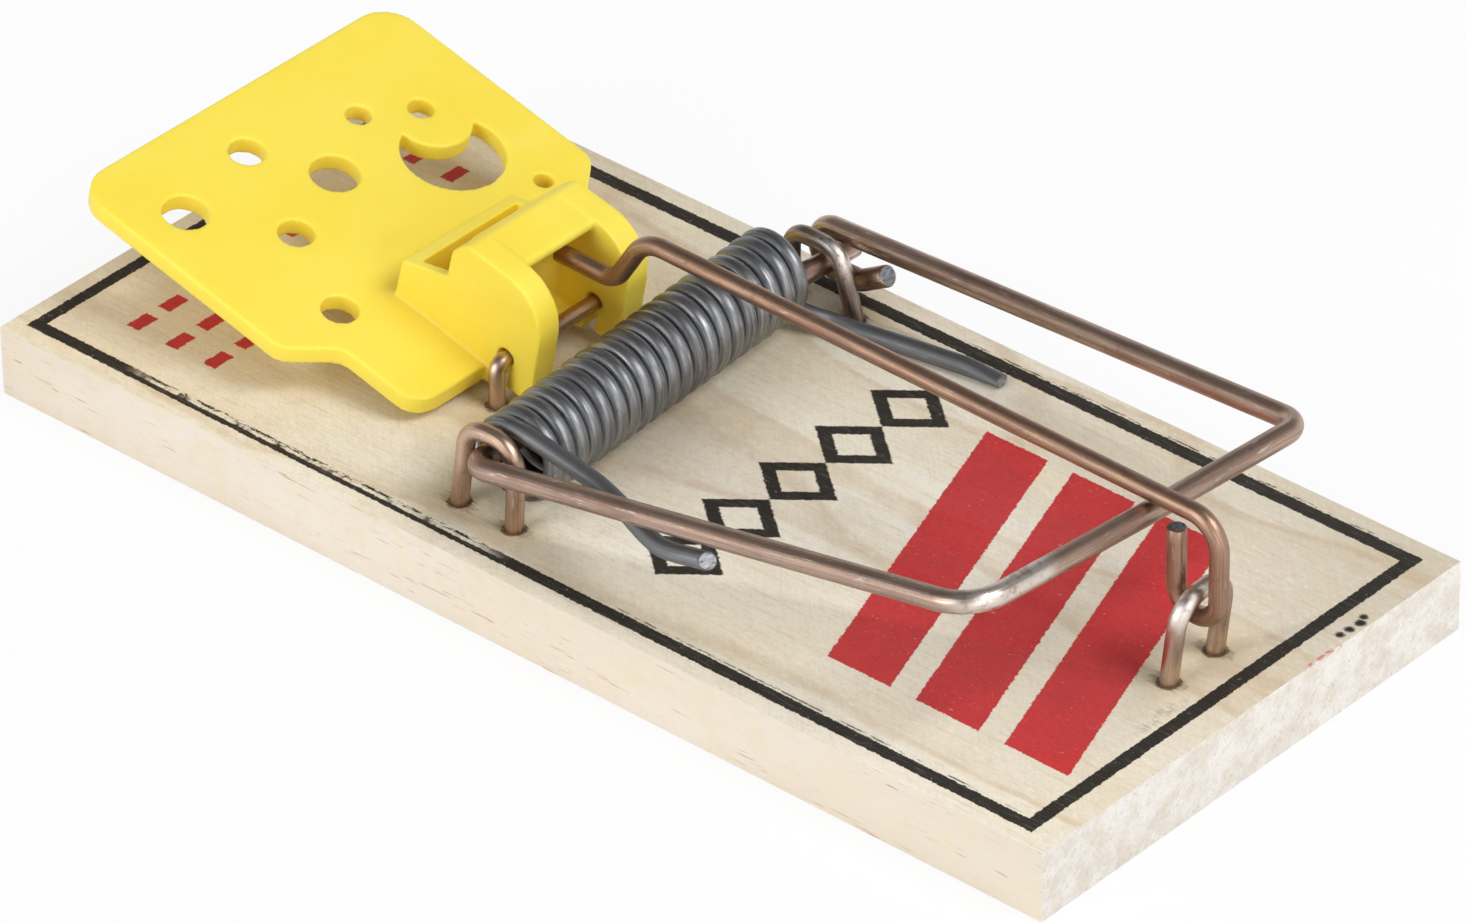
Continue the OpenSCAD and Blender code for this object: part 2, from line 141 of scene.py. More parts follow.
class Shader:
    """A node material. Numbers, colours and sockets all go where an input is asked for."""

    def __init__(self, name, tree=None):
        if tree is None:
            self.material = bpy.data.materials.new(name)
            self.material.use_nodes = True
        self.tree = tree or self.material.node_tree
        self.tree.nodes.clear()

    def node(self, kind, ins=(), out=0, **props):
        n = self.tree.nodes.new("ShaderNode" + kind)
        for key, value in props.items():
            setattr(n, key, value)
        for key, value in ins.items() if isinstance(ins, dict) else enumerate(ins):
            if isinstance(value, bpy.types.NodeSocket):
                self.tree.links.new(value, n.inputs[key])
            elif value is not None:
                n.inputs[key].default_value = value
        return n.outputs[out]

    def math(self, kind, *values):
        return self.node("Math", values, operation=kind)

    def add(self, a, b):
        return self.math("ADD", a, b)

    def mul(self, a, b):
        return self.math("MULTIPLY", a, b)

    def flip(self, a):
        return self.math("SUBTRACT", 1.0, a)

    def most(self, *values):
        found = values[0]
        for v in values[1:]:
            found = self.math("MAXIMUM", found, v)
        return found

    def ease(self, value, low, high, a=0.0, b=1.0):
        """Goes smoothly from a to b while value goes from low to high."""
        return self.node("MapRange", (value, low, high, a, b), interpolation_type="SMOOTHSTEP")

    def band(self, value, low, high, soft):
        """1 between low and high, with edges of that softness."""
        above = self.ease(value, low - soft, low + soft)
        below = self.ease(value, high - soft, high + soft, 1.0, 0.0)
        return self.mul(above, below)

    def mix(self, share, a, b):
        """Colour a, with that share of colour b over it."""
        n = self.tree.nodes.new("ShaderNodeMix")
        n.data_type = "RGBA"
        for key, value in ((0, share), (6, a), (7, b)):
            if isinstance(value, bpy.types.NodeSocket):
                self.tree.links.new(value, n.inputs[key])
            else:
                n.inputs[key].default_value = value
        return n.outputs[2]

    def stretch(self, vector, x, y, z):
        return self.node("VectorMath", (vector, (x, y, z)), operation="MULTIPLY")

    def shift(self, vector, x, y, z):
        return self.node("VectorMath", (vector, (x, y, z)), operation="ADD")

    def noise(self, vector, scale, detail, rough=0.5):
        ins = {"Vector": vector, "Scale": scale, "Detail": detail, "Roughness": rough}
        return self.node("TexNoise", ins)

    def place(self):
        """The point on the object in millimetres."""
        return self.stretch(self.node("TexCoord", out="Object"), 1000, 1000, 1000)

    def join(self, x, y, z):
        return self.node("CombineXYZ", (x, y, z))

    def split(self, vector):
        n = self.tree.nodes.new("ShaderNodeSeparateXYZ")
        self.tree.links.new(vector, n.inputs[0])
        return n.outputs[0], n.outputs[1], n.outputs[2]

    def surface(self, shader):
        out = self.tree.nodes.new("ShaderNodeOutputMaterial")
        self.tree.links.new(shader, out.inputs["Surface"])
        return self.material

    def principled(self, height, depth, strength, **ins):
        """A bumped surface; ins are sockets of the Principled shader, with spaces as underscores."""
        found = {key.replace("_", " "): value for key, value in ins.items()}
        found["Normal"] = self.node("Bump", {"Height": height, "Distance": depth, "Strength": strength})
        return self.surface(self.node("BsdfPrincipled", found))


def rgb(r, g, b):
    """A colour from its 0 to 255 values, as the shader needs it."""
    def linear(v):
        return v / 255 / 12.92 if v < 10.3 else ((v / 255 + 0.055) / 1.055) ** 2.4

    return linear(r), linear(g), linear(b), 1


# the print on the board's top, in mm: the ruled border's outer and inner edges, then the motifs
BORDER_X, BORDER_Y = (-47.9, 47.1), (-21.1, 21.0)
INSIDE_X, INSIDE_Y = (-46.85, 45.95), (-20.02, 19.8)
CHAIN_X, CHAIN_HALF, CHAIN_Y, DIAMOND = 7.6, 3.7, (-15.0, 15.0), 6
BARS = (18.2, 23.9), (26.2, 31.9), (34.2, 39.9)
BARS_Y, BARS_SLANT = (-14.6, 13.4), 0.34
DASH_ROWS = (-42.4, -41.2), (-38.6, -37.4), (-34.8, -33.6)
DASHES_Y, DASHES_PER_MM = (-17.0, 15.0), 0.31
BLOTS = (48.4, 10.2, 0.3), (48.5, 11.1, 0.32), (48.6, 12.2, 0.36), (48.3, 12.9, 0.28)  # middle and radius
CRISP = 0.05  # half the width of a printed edge's fade
# from where to where the painted shade round the mouth of a staple leg's hole, the torn fibres and the
# stain fade out, in mm
RIM_SHADE, TORN, STAIN = (0.82, 1.06), (0.62, 0.95), (0.8, 3.4)


def pine_print(legs):
    """Planed pine, with a ruled black border and plain red and black shapes on its top face.

    legs are the places where the staples' legs go into the wood."""
    m = Shader("pine_print")
    p = m.place()
    x, y, z = m.split(p)
    nx, ny, nz = m.split(m.node("NewGeometry", out="Normal"))
    ends = m.ease(m.math("ABSOLUTE", nx), 0.6, 0.9)
    sides = m.ease(m.math("ABSOLUTE", ny), 0.6, 0.9)
    face = m.ease(nz, 0.6, 0.9)

    # growth rings about a pith far below the board, bent a little along the grain
    bend = m.noise(m.stretch(p, 0.035, 0.05, 0.05), 1.0, 2.0)
    yy = m.add(m.add(y, -9.0), m.mul(bend, 16.0))
    zz = m.add(m.add(z, 46.0), m.mul(m.noise(m.stretch(p, 0.02, 0.1, 0.1), 1.0, 1.0), 9.0))
    radius = m.math("SQRT", m.add(m.mul(yy, yy), m.mul(zz, zz)))
    ring = m.math("FRACT", m.mul(radius, 0.3))
    late = m.mul(m.ease(ring, 0.3, 0.9), m.ease(ring, 0.92, 1.0, 1.0, 0.0))
    line = m.mul(m.ease(ring, 0.82, 0.9), m.ease(ring, 0.93, 1.0, 1.0, 0.0))
    fibre = m.noise(m.stretch(p, 0.14, 3.4, 3.4), 1.0, 4.0, 0.62)
    vein = m.noise(m.stretch(m.shift(p, 9, 4, 6), 0.26, 6.5, 6.5), 1.0, 4.0, 0.7)
    fine = m.noise(m.stretch(p, 1.6, 20.0, 20.0), 1.0, 3.0, 0.6)
    grit = m.noise(m.shift(p, 1, 5, 9), 5.0, 3.0, 0.7)
    cloud = m.noise(m.stretch(p, 0.045, 0.14, 0.14), 1.0, 3.0)
    mottle = m.noise(m.shift(p, 3, 8, 1), 0.34, 3.0, 0.6)
    # the saw's marks run slantwise over the top
    saw = m.noise(m.join(m.mul(m.add(x, y), 2.8), m.mul(m.math("SUBTRACT", x, y), 0.22), z), 1.0, 2.0, 0.6)
    crumb = m.noise(m.stretch(m.shift(p, 2, 6, 0), 1.3, 2.4, 2.4), 1.0, 3.0, 0.65)
    # the pedal's end is browner than the front, and the wood beside the spring gets painted shade
    warm = m.mul(m.ease(x, -46.0, 4.0, 1.0, 0.0), m.ease(mottle, 0.25, 0.7, 0.55, 1.0))
    spring_shade = m.mul(m.band(x, -13.0, 1.5, 3.5), m.ease(crumb, 0.3, 0.7, 0.5, 1.0))
    # the front is greyer
    front = m.mul(m.ease(x, 12.0, 44.0), m.ease(y, -18.0, 10.0, 0.6, 1.0))

    tone = m.mix(m.ease(cloud, 0.35, 0.68), rgb(243, 236, 221), rgb(238, 229, 208))
    tone = m.mix(m.mul(warm, 0.7), tone, rgb(229, 210, 174))
    tone = m.mix(m.mul(front, 0.42), tone, rgb(200, 184, 158))
    tone = m.mix(m.mul(late, 0.2), tone, rgb(210, 182, 140))
    tone = m.mix(m.mul(line, m.ease(mottle, 0.3, 0.62, 0.08, 0.28)), tone, rgb(186, 149, 104))
    tone = m.mix(m.ease(fibre, 0.5, 0.76, 0.0, 0.36), tone, rgb(209, 184, 146))
    tone = m.mix(m.ease(vein, 0.55, 0.72, 0.0, 0.3), tone, rgb(190, 160, 118))
    tone = m.mix(m.ease(mottle, 0.5, 0.78, 0.0, 0.24), tone, rgb(206, 191, 165))
    tone = m.mix(m.ease(crumb, 0.52, 0.74, 0.0, 0.24), tone, rgb(203, 187, 158))
    tone = m.mix(m.ease(crumb, 0.28, 0.46, 0.3, 0.0), tone, rgb(248, 243, 232))
    tone = m.mix(m.ease(grit, 0.46, 0.72, 0.0, 0.2), tone, rgb(184, 164, 134))
    tone = m.mix(m.mul(face, m.ease(saw, 0.48, 0.66, 0.0, 0.09)), tone, rgb(188, 172, 148))
    # painted shade on the top beside the spring, where the coil and the hammer shade the wood
    tone = m.mix(m.mul(m.mul(spring_shade, face), 0.22), tone, rgb(192, 172, 132))

    # the long sides: smooth and pale, with a few short brown flecks, and painted shade towards the front
    # end
    fleck = m.ease(m.noise(m.stretch(m.shift(p, 5, 0, 2), 0.3, 5.0, 4.6), 1.0, 3.0, 0.55), 0.63, 0.7)
    fleck = m.mul(fleck, m.ease(m.noise(m.stretch(p, 0.05, 0.3, 0.5), 1.0, 1.0), 0.42, 0.58))
    edge = m.mix(m.ease(cloud, 0.3, 0.7), rgb(237, 227, 213), rgb(233, 221, 203))
    # painted shade: the long sides darken towards the front end
    edge = m.mix(m.ease(x, 5.0, 48.0, 0.0, 0.35), edge, rgb(214, 203, 186))
    edge = m.mix(m.ease(fibre, 0.45, 0.8, 0.0, 0.3), edge, rgb(228, 209, 178))
    edge = m.mix(m.ease(mottle, 0.42, 0.7, 0.0, 0.34), edge, rgb(233, 214, 178))
    edge = m.mix(m.ease(crumb, 0.5, 0.72, 0.0, 0.2), edge, rgb(216, 203, 184))
    edge = m.mix(m.mul(fleck, 0.85), edge, rgb(194, 156, 112))
    tone = m.mix(sides, tone, edge)

    # the sawn ends: grey white, mottled, with open pores
    pores = m.noise(m.join(x, m.add(y, m.mul(z, 0.5)), m.mul(z, 0.7)), 3.4, 4.0, 0.75)
    # strokes of the saw climb to the far side
    climb, slope = m.add(m.mul(y, 0.7), z), m.math("SUBTRACT", z, m.mul(y, 0.8))
    stroke = m.noise(m.join(m.mul(climb, 1.1), m.mul(slope, 2.5), x), 1.0, 4.0, 0.7)
    patch = m.noise(m.join(x, m.mul(y, 0.45), m.mul(z, 0.5)), 1.0, 3.0, 0.6)
    grain_end = m.mix(m.ease(patch, 0.35, 0.66), rgb(233, 229, 223), rgb(222, 213, 201))
    grain_end = m.mix(m.ease(stroke, 0.5, 0.7, 0.0, 0.42), grain_end, rgb(204, 189, 172))
    grain_end = m.mix(m.ease(stroke, 0.3, 0.46, 0.6, 0.0), grain_end, rgb(240, 240, 239))
    grain_end = m.mix(m.ease(pores, 0.52, 0.66, 0.0, 0.35), grain_end, rgb(198, 180, 160))
    deep_pores = m.mul(m.ease(pores, 0.62, 0.7), m.ease(stroke, 0.4, 0.6, 0.0, 0.4))
    grain_end = m.mix(deep_pores, grain_end, rgb(158, 136, 114))
    tone = m.mix(ends, tone, grain_end)

    # round each staple leg: a stain, torn fibres along the grain, and painted shade of the gap round the
    # leg at the mouth of its hole
    stain = rim_shade_and_torn = None
    for lx, ly in legs:
        dx, dy = m.add(x, -lx), m.add(y, -ly)
        away = m.math("SQRT", m.add(m.mul(dx, dx), m.mul(dy, dy)))
        along = m.math("SQRT", m.add(m.mul(m.mul(dx, 0.55), m.mul(dx, 0.55)), m.mul(dy, dy)))
        ragged = m.mul(m.add(m.noise(m.stretch(p, 0.9, 4.0, 4.0), 1.0, 3.0, 0.7), -0.5), 1.5)
        here = m.ease(m.add(away, m.mul(ragged, 0.5)), *RIM_SHADE, 1.0, 0.0)
        torn = m.mul(m.ease(m.add(along, ragged), *TORN, 1.0, 0.0), 0.4)
        here = m.most(here, torn)
        wide = m.ease(away, *STAIN, 1.0, 0.0)
        rim_shade_and_torn = here if rim_shade_and_torn is None else m.most(rim_shade_and_torn, here)
        stain = wide if stain is None else m.most(stain, wide)
    tone = m.mix(m.mul(m.mul(stain, face), 0.34), tone, rgb(204, 182, 134))
    # painted shade at the mouth of each hole, where the gap round the leg is, with the torn fibres darkened
    # too
    tone = m.mix(m.mul(m.mul(rim_shade_and_torn, face), 0.82), tone, rgb(70, 52, 36))

    # ink: its edges wander a little, and the grain leaves specks of bare wood
    fray = m.mul(m.add(m.noise(p, 6.0, 2.0, 0.6), -0.5), 0.2)
    px = m.add(m.add(x, fray), m.mul(m.add(m.noise(p, 2.3, 3.0, 0.65), -0.5), 0.3))
    py = m.add(m.add(y, fray), m.mul(m.add(m.noise(m.shift(p, 40, 7, 3), 2.3, 3.0, 0.65), -0.5), 0.3))
    speck = m.ease(m.noise(m.stretch(p, 2.2, 3.4, 3.4), 1.0, 4.0, 0.75), 0.29, 0.36)
    smear = m.noise(m.stretch(p, 0.5, 4.5, 4.5), 1.0, 4.0, 0.7)
    outer = m.mul(m.band(px, *BORDER_X, 0.04), m.band(py, *BORDER_Y, 0.04))
    inner = m.mul(m.band(px, *INSIDE_X, 0.04), m.band(py, *INSIDE_Y, 0.04))
    # towards the pedal's end the near line is split by a bare slit, with its inner half broken
    doubled = m.band(x, -37.0, -3.0, 2.0)
    drift = m.mul(m.add(m.noise(m.join(m.mul(x, 0.5), 3.0, 1.0), 1.0, 3.0, 0.7), -0.5), 0.9)
    slit = m.mul(m.band(m.add(py, m.mul(drift, 0.25)), -20.6, -20.3, CRISP), m.ease(drift, -0.12, 0.02))
    missing = m.noise(m.join(m.mul(x, 0.8), 9.0, m.mul(y, 3.0)), 1.0, 4.0, 0.75)
    gaps = m.mul(m.band(py, -20.32, -19.9, CRISP), m.ease(missing, 0.47, 0.53))
    border = m.mul(m.mul(outer, m.flip(inner)), m.flip(m.mul(m.most(slit, gaps), doubled)))
    # towards the front a hair line runs beside the near and far lines, with breaks
    broken = m.ease(m.noise(m.join(m.mul(x, 0.55), m.mul(y, 2.0), 4.0), 1.0, 4.0, 0.75), 0.47, 0.53)
    beside = m.most(m.band(m.add(y, m.mul(drift, 0.2)), -19.88, -19.72, CRISP),
                    m.band(m.add(y, m.mul(drift, 0.3)), 21.08, 21.26, CRISP))
    beside = m.mul(m.mul(beside, broken), m.band(x, 6.0, 44.0, 2.0))
    border = m.most(border, m.mul(beside, 0.85))
    # a chain of hollow diamonds across the board
    link = m.math("FRACT", m.mul(m.add(py, -CHAIN_Y[0]), 1 / DIAMOND))
    turn = m.mul(m.math("ABSOLUTE", m.add(link, -0.5)), 2.0)
    diamond = m.add(m.mul(m.math("ABSOLUTE", m.add(px, -CHAIN_X)), 1 / CHAIN_HALF), turn)
    chain = m.mul(m.band(diamond, 0.56, 1.0, 0.03), m.band(py, *CHAIN_Y, 0.04))
    # a row of ink blots on the front strip, and a faint smudge beside the border's front line
    dots = 0.0
    for bx, by, size in BLOTS:
        dx, dy = m.add(px, -bx), m.add(py, -by)
        away = m.math("SQRT", m.add(m.mul(dx, dx), m.mul(dy, dy)))
        dots = m.most(dots, m.ease(away, size - 0.12, size + 0.2, 1.0, 0.0))
    smudge = m.mul(m.band(x, 44.6, 45.6, 0.4), m.band(y, -7.4, -2.6, 0.8))
    smudge = m.mul(smudge, m.ease(crumb, 0.42, 0.66, 0.0, 0.3))
    thinned = m.mul(m.ease(speck, 0.0, 1.0, 0.6, 1.0), m.ease(smear, 0.3, 0.5, 0.93, 1.0))
    black = m.mul(m.mul(m.most(border, chain), face), thinned)
    black = m.most(black, m.mul(face, m.most(dots, smudge)))

    # red: three slanted bars at the front, and rows of dashes under the pedal
    slant = m.add(px, m.mul(py, BARS_SLANT))
    bars = m.most(*(m.band(slant, low, high, CRISP) for low, high in BARS))
    bars = m.mul(bars, m.band(py, *BARS_Y, CRISP))
    dash = m.math("FRACT", m.mul(m.add(py, -DASHES_Y[0]), DASHES_PER_MM))
    dash = m.math("ABSOLUTE", m.add(dash, -0.5))
    rows = m.most(*(m.band(px, low, high, CRISP) for low, high in DASH_ROWS))
    dashes = m.mul(m.mul(rows, m.ease(dash, 0.3, 0.33, 1.0, 0.0)), m.band(py, *DASHES_Y, CRISP))
    # a stray red smear along the front edge
    stray = m.mul(m.band(y, 5.4, 9.6, 0.6), m.ease(z, TOP - 0.3, TOP - 0.1))
    stray = m.mul(m.mul(m.band(x, 48.95, 49.3, CRISP), stray), m.ease(crumb, 0.45, 0.6, 0.0, 0.6))
    red = m.mul(m.most(bars, dashes), m.mul(face, m.ease(speck, 0.0, 1.0, 0.55, 1.0)))
    red = m.most(red, m.mul(stray, m.flip(sides)))
    red_ink = m.mix(m.ease(m.noise(p, 3.0, 4.0, 0.7), 0.35, 0.7), rgb(201, 30, 41), rgb(186, 22, 33))
    red_ink = m.mix(m.ease(mottle, 0.4, 0.75, 0.0, 0.5), red_ink, rgb(174, 21, 32))
    tone = m.mix(m.mul(red, 0.95), tone, red_ink)
    tone = m.mix(m.mul(black, 0.97), tone, m.mix(m.ease(smear, 0.4, 0.8), rgb(19, 15, 12), rgb(37, 31, 25)))

    ink = m.most(red, black)
    rough = m.add(m.ease(fine, 0.3, 0.8, 0.6, 0.74), m.mul(ink, -0.12))
    sawn = m.mul(m.mul(m.add(pores, stroke), ends), 1.2)
    relief = m.add(m.add(m.mul(fibre, 0.5), m.mul(fine, 0.3)), m.add(sawn, m.mul(crumb, 0.5)))
    relief = m.add(relief, m.add(m.mul(m.mul(rim_shade_and_torn, face), -1.4), m.mul(m.mul(saw, face), 0.12)))
    return m.principled(Base_Color=tone, Roughness=rough, Specular_IOR_Level=0.12,
                        height=relief, depth=0.00009, strength=0.7)


def moulded_yellow():
    """Soft-gloss yellow polypropylene, a little translucent, with flow marks and fine scuffs."""
    m = Shader("moulded_yellow")
    p = m.place()
    cloud = m.noise(m.stretch(p, 0.12, 0.12, 0.3), 1.0, 2.0)
    flow = m.noise(m.stretch(p, 0.3, 0.1, 0.3), 1.0, 3.0, 0.55)
    grit = m.noise(p, 7.0, 3.0, 0.6)
    scuff = m.ease(m.noise(m.stretch(p, 0.8, 4.2, 2.0), 1.0, 4.0, 0.7), 0.66, 0.74)
    tone = m.mix(m.ease(cloud, 0.3, 0.75), rgb(253, 227, 88), rgb(251, 222, 76))
    tone = m.mix(m.ease(flow, 0.55, 0.8, 0.0, 0.3), tone, rgb(254, 232, 112))
    tone = m.mix(m.ease(m.noise(p, 2.2, 4.0, 0.7), 0.7, 0.78, 0.0, 0.3), tone, rgb(206, 168, 44))
    tone = m.mix(m.mul(scuff, 0.16), tone, rgb(255, 242, 160))
    sheen = m.noise(m.stretch(p, 1.1, 0.5, 1.1), 1.0, 4.0, 0.65)
    rough = m.add(m.ease(sheen, 0.3, 0.75, 0.36, 0.5), m.mul(scuff, 0.12))
    relief = m.add(m.add(m.mul(grit, 0.3), m.mul(flow, 0.9)), m.mul(scuff, -0.4))
    return m.principled(Base_Color=tone, Roughness=rough, Specular_IOR_Level=0.32, Subsurface_Weight=0.33,
                        Subsurface_Radius=(0.0022, 0.0018, 0.0006), Subsurface_Scale=1.0,
                        height=relief, depth=0.00004, strength=0.45)


def drawn_wire(name, bright, mid, dark, wear_and_highlight, dirt, rough, rubbed_and_highlit=None, dull=None):
    """Drawn wire: streaks run along it (U is the length in metres, V the turn round it).

    One given stretch of its length is painted bright, partly as rubbed wear and partly as a painted
    highlight; it is matt outside the stretch dull."""
    m = Shader(name)
    uv = m.node("UVMap", uv_map="along")
    p = m.place()
    streak = m.noise(m.stretch(uv, 70.0, 24.0, 1.0), 1.0, 4.0, 0.65)
    scratch = m.noise(m.stretch(uv, 150.0, 70.0, 1.0), 1.0, 3.0, 0.7)
    cloud = m.noise(m.stretch(uv, 130.0, 3.0, 1.0), 1.0, 3.0, 0.6)
    rub = m.noise(m.shift(m.stretch(uv, 420.0, 14.0, 1.0), 5, 2, 1), 1.0, 3.0, 0.65)
    grime = m.noise(p, 1.3, 4.0, 0.7)
    tone = m.mix(m.ease(streak, 0.32, 0.7), mid, bright)
    tone = m.mix(m.mul(m.ease(cloud, 0.4, 0.68), dirt), tone, dark)
    tone = m.mix(m.ease(scratch, 0.54, 0.7, 0.0, 0.6), tone, dark)
    tone = m.mix(m.ease(grime, 0.56, 0.74, 0.0, 0.35), tone, dark)
    tone = m.mix(m.ease(rub, 0.6, 0.71, 0.0, 0.6), tone, wear_and_highlight)
    # a stretch painted bright: rubbed wear with a painted highlight on the bend
    if rubbed_and_highlit:
        rubbed_and_highlit_mask = m.band(m.split(uv)[0], *rubbed_and_highlit, 0.0012)
        tone = m.mix(m.mul(rubbed_and_highlit_mask, m.ease(grime, 0.34, 0.52, 0.2, 0.9)), tone, wear_and_highlight)
    shine = m.add(m.ease(streak, 0.3, 0.8, rough + 0.1, rough - 0.04), m.ease(cloud, 0.4, 0.7, 0.0, 0.1))
    if dull:
        outside = m.flip(m.band(m.split(uv)[0], *dull, 0.002))
        tone = m.mix(m.mul(outside, 0.6), tone, mid)
        shine = m.add(shine, m.mul(outside, 0.14))
    relief = m.add(m.mul(scratch, 0.8), m.add(m.mul(streak, 0.7), m.mul(rub, 0.3)))
    return m.principled(Base_Color=tone, Metallic=1.0, Roughness=shine,
                        height=relief, depth=0.00003, strength=0.7)


def cut_steel(name, light, dark):
    """The sheared end of a wire, with drag lines across it."""
    m = Shader(name)
    p = m.place()
    drag = m.noise(m.stretch(p, 2.0, 2.0, 9.0), 1.0, 4.0, 0.7)
    tone = m.mix(m.ease(drag, 0.35, 0.7), light, dark)
    rough = m.ease(drag, 0.3, 0.7, 0.3, 0.5)
    return m.principled(Base_Color=tone, Metallic=1.0, Roughness=rough,
                        height=drag, depth=0.00005, strength=0.7)


# ---------------------------------------------------------------- bent wires

# about how far apart the points of a wire's middle line are in its bends and straight runs, in metres
BEND_STEP, RUN_STEP = 0.00025, 0.0012
# a cut end's chamfer: the end face's radius and the chamfer's length, as shares of the wire's radius
FACE_SHARE, CHAMFER_SHARE = 0.82, 0.14
CLEAR_SHARE = 0.3  # how far the next ring stays from a straight first end; a slanted one needs more
# a wire's slight unevenness: noise cells per metre for its wander and its dents, and the deepest
# dent as a share of the radius
WANDER, DENTS, DENT_SHARE = 90, 300, 0.01
# where the noise is read for the wander's x, y and z; noise.noise_vector would read it at places
# that Blender draws anew in each run
LANES = 0.3, 31.7, 63.1


def rounded(corners, radii):
    """The points of a wire's middle line: straight runs, and a bend of its radius at each inner corner."""
    parts, at = [], corners[0]
    for i in range(1, len(corners) - 1):
        a, p, b, r = corners[i - 1], corners[i], corners[i + 1], radii[i - 1]
        u, w = (a - p).normalized(), (b - p).normalized()
        half = u.angle(w) / 2
        start, end = p + u * r / math.tan(half), p + w * r / math.tan(half)
        middle = p + (u + w).normalized() * r / math.sin(half)
        parts.append(("run", at, start))
        parts.append(("bend", start - middle, end - middle, middle, math.pi - 2 * half))
        at = end
    parts.append(("run", at, corners[-1]))
    points = [corners[0]]
    for part in parts:
        if part[0] == "run":
            n = max(1, round((part[2] - part[1]).length / RUN_STEP))
            if (part[2] - part[1]).length > 1e-6:
                points += [part[1].lerp(part[2], k / n) for k in range(1, n + 1)]
        else:
            s, e, middle, turn = part[1:]
            n = max(3, round(s.length * turn / BEND_STEP))
            for k in range(1, n + 1):
                spoke = s * math.sin(turn * (1 - k / n)) + e * math.sin(turn * k / n)
                points.append(middle + spoke / math.sin(turn))
    return points


def wire(name, points, diameter, skin, ends, body, node, seed, sides=24, sway=0.00001,
         shear=Vector()):
    """A round wire through points, with chamfered cut ends, in place of a CAD node.

    skin is its material, ends that of its two end faces. Without a body it is attached to none.
    sway is about how far it wanders from its middle line.
    shear slants the first end: the wire is longer on the side that it points to."""
    bm = bmesh.new()
    uv = bm.loops.layers.uv.new("along")
    r, n = diameter / 2 - sway, len(points)
    tangents = [(points[min(i + 1, n - 1)] - points[max(i - 1, 0)]).normalized() for i in range(n)]
    side = tangents[0].orthogonal().normalized()
    rings, lengths, run = [], [], 0.0

    def ring(middle, tangent, across, radius, slant=Vector()):
        other = tangent.cross(across)
        found = []
        for k in range(sides):
            a = 2 * math.pi * k / sides
            out = across * math.cos(a) + other * math.sin(a)
            found.append(bm.verts.new(middle + (out - tangent * out.dot(slant)) * radius))
        return found

    for i, (p, t) in enumerate(zip(points, tangents)):
        if i:
            run += (p - points[i - 1]).length
            side = side - t * side.dot(t)
            side.normalize()
        wave = Vector([noise.noise(Vector((run * WANDER, seed, lane))) for lane in LANES]) * sway
        grow = 1 - DENT_SHARE * abs(noise.noise(Vector((run * DENTS, seed, 7.1))))
        if i == 0:
            rings.append(ring(p, t, side, r * FACE_SHARE, shear))
            lengths.append(0.0)
            rings.append(ring(p + t * r * CHAMFER_SHARE, t, side, r, shear))
            lengths.append(r * CHAMFER_SHARE)
        elif i == n - 1:
            rings.append(ring(p - t * r * CHAMFER_SHARE, t, side, r))
            lengths.append(run - r * CHAMFER_SHARE)
            rings.append(ring(p, t, side, r * FACE_SHARE))
            lengths.append(run)
        elif run > r * (CLEAR_SHARE + shear.length):
            rings.append(ring(p + wave, t, side, r * grow))
            lengths.append(run)
    for a, b, la, lb in zip(rings, rings[1:], lengths, lengths[1:]):
        for k in range(sides):
            face = bm.faces.new((a[k], a[(k + 1) % sides], b[(k + 1) % sides], b[k]))
            face.smooth = True
            for loop, where in zip(face.loops, ((la, k), (la, k + 1), (lb, k + 1), (lb, k))):
                loop[uv].uv = (where[0], where[1] / sides)
    for loop_verts, turn in ((rings[0], -1), (rings[-1], 1)):
        cap = bm.faces.new(loop_verts[::turn])
        cap.material_index = 1
    bmesh.ops.recalc_face_normals(bm, faces=bm.faces[:])
    mesh = bpy.data.meshes.new(name)
    bm.to_mesh(mesh)
    bm.free()
    mesh.materials.append(skin)
    mesh.materials.append(ends)
    piece = bpy.data.objects.new(name, mesh)
    bpy.context.scene.collection.objects.link(piece)
    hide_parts(node)
    if body:
        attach(piece, body)
    return piece


hinge = joints["hammer_swing"]
axle_middle, axle_way = Vector(hinge["pos_m"]), -Vector(hinge["axis"])


def axle_at(y):
    """The point of the axle's middle line, in metres, at a y in mm."""
    return axle_middle + axle_way * (y * 0.001 / axle_way.y)


# in mm: the wires' diameters, and the places that more than one piece goes by
BAR_WIRE, HAMMER_WIRE, STAPLE_WIRE, TRIGGER_WIRE, SPRING_WIRE = 1.45, 1.7, 1.4, 1.25, 1.4
BAR_Z = TOP + 13.42  # the bar's long run
AXLE_NEAR_Y, AXLE_FAR_Y = -19.2, 21.7  # the axle's bend to the near arm, and its free end
NEAR_CORNER = 39.6, -18.4, TOP + 13.45  # where the near arm turns into the crossbar
CROSSBAR_Y = 0.15  # where the bar passes over the crossbar
NEAR_STAPLE_Y, FAR_STAPLE_Y, BAR_STAPLE_X = -17.3, 18.2, 43.95


def make_hammer(skin, ends):
    """One wire: axle, near arm, crossbar, far arm, and the hook round the axle's free end."""
    under_bar, bend = 0.12, 1.85
    crossbar_z = BAR_Z - BAR_WIRE / 2 - under_bar - HAMMER_WIRE / 2
    hook = axle_at(20.45) * 1000
    left = hook.x - 0.4 - bend
    corners = [
        axle_at(AXLE_FAR_Y),
        axle_at(AXLE_NEAR_Y),
        mm(*NEAR_CORNER),
        mm(39.7, CROSSBAR_Y, crossbar_z),
        mm(39.8, 16.4, TOP + 10.55),
        mm(left, hook.y, hook.z + 1.7),
        mm(left, hook.y, hook.z - bend),
        mm(hook.x + 1.7, hook.y, hook.z - 1.75),
        mm(hook.x + 4.3, hook.y, hook.z - 0.25),
    ]
    radii = [0.0018, 0.003, 0.06, 0.002, 0.00185, 0.00185, 0.0015]
    wire("hammer_wire", rounded(corners, radii), HAMMER_WIRE / 1000, skin, ends,
         "hammer", "hammer", seed=1.0)


